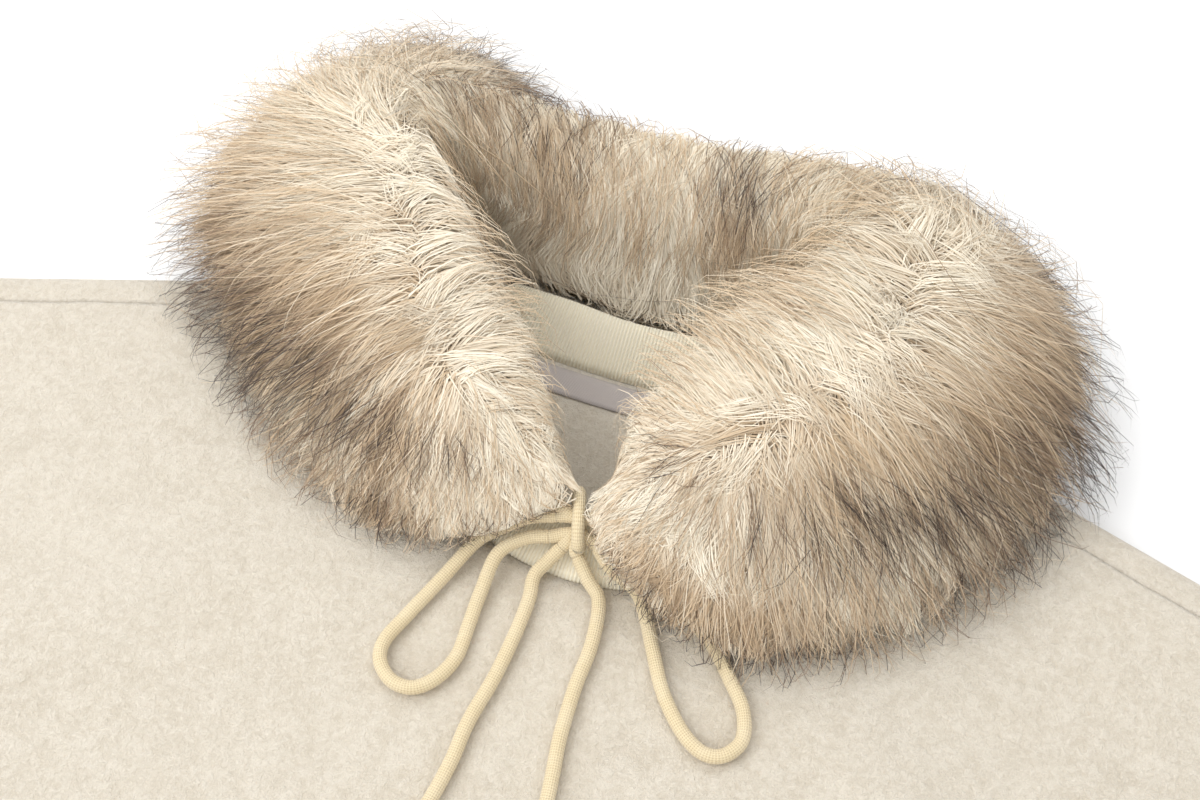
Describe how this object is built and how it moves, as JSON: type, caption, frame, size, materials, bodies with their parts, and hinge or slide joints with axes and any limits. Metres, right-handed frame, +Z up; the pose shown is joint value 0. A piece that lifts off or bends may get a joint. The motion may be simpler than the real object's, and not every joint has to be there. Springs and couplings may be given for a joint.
{
  "type": "pullover top",
  "caption": "Fleece pullover laid flat, face up, with a ribbed crew neck and a long-pile fur collar tied at the front by a drawcord bow.",
  "frame": {"origin": "middle of the garment's footprint, on the surface that it lies on", "axes": "+X across the garment towards its left sleeve as worn, +Y from the hem towards the neck, +Z up from the surface"},
  "size_m": [1.339, 0.7452, 0.0791],
  "materials": {
    "fleece": "brushed, soft nap, matte",
    "rib": "rib knit, matte",
    "fur": "long fake-fur pile with dark tips",
    "cord": "fine braid, slight sheen",
    "tape": "plain woven tape, slight sheen"
  },
  "bodies": {
    "root": {"back": "fleece", "front": "fleece", "sleeve_left": "fleece", "sleeve_right": "fleece", "neck_rib": "rib", "neck_tape": "tape", "fur_collar": "fur", "cord_knot": "cord", "cord_loop_left": "cord", "cord_loop_right": "cord", "cord_tail_left": "cord", "cord_tail_right": "cord", "cord_end_left": "cord", "cord_end_right": "cord"}
  },
  "joints": []
}
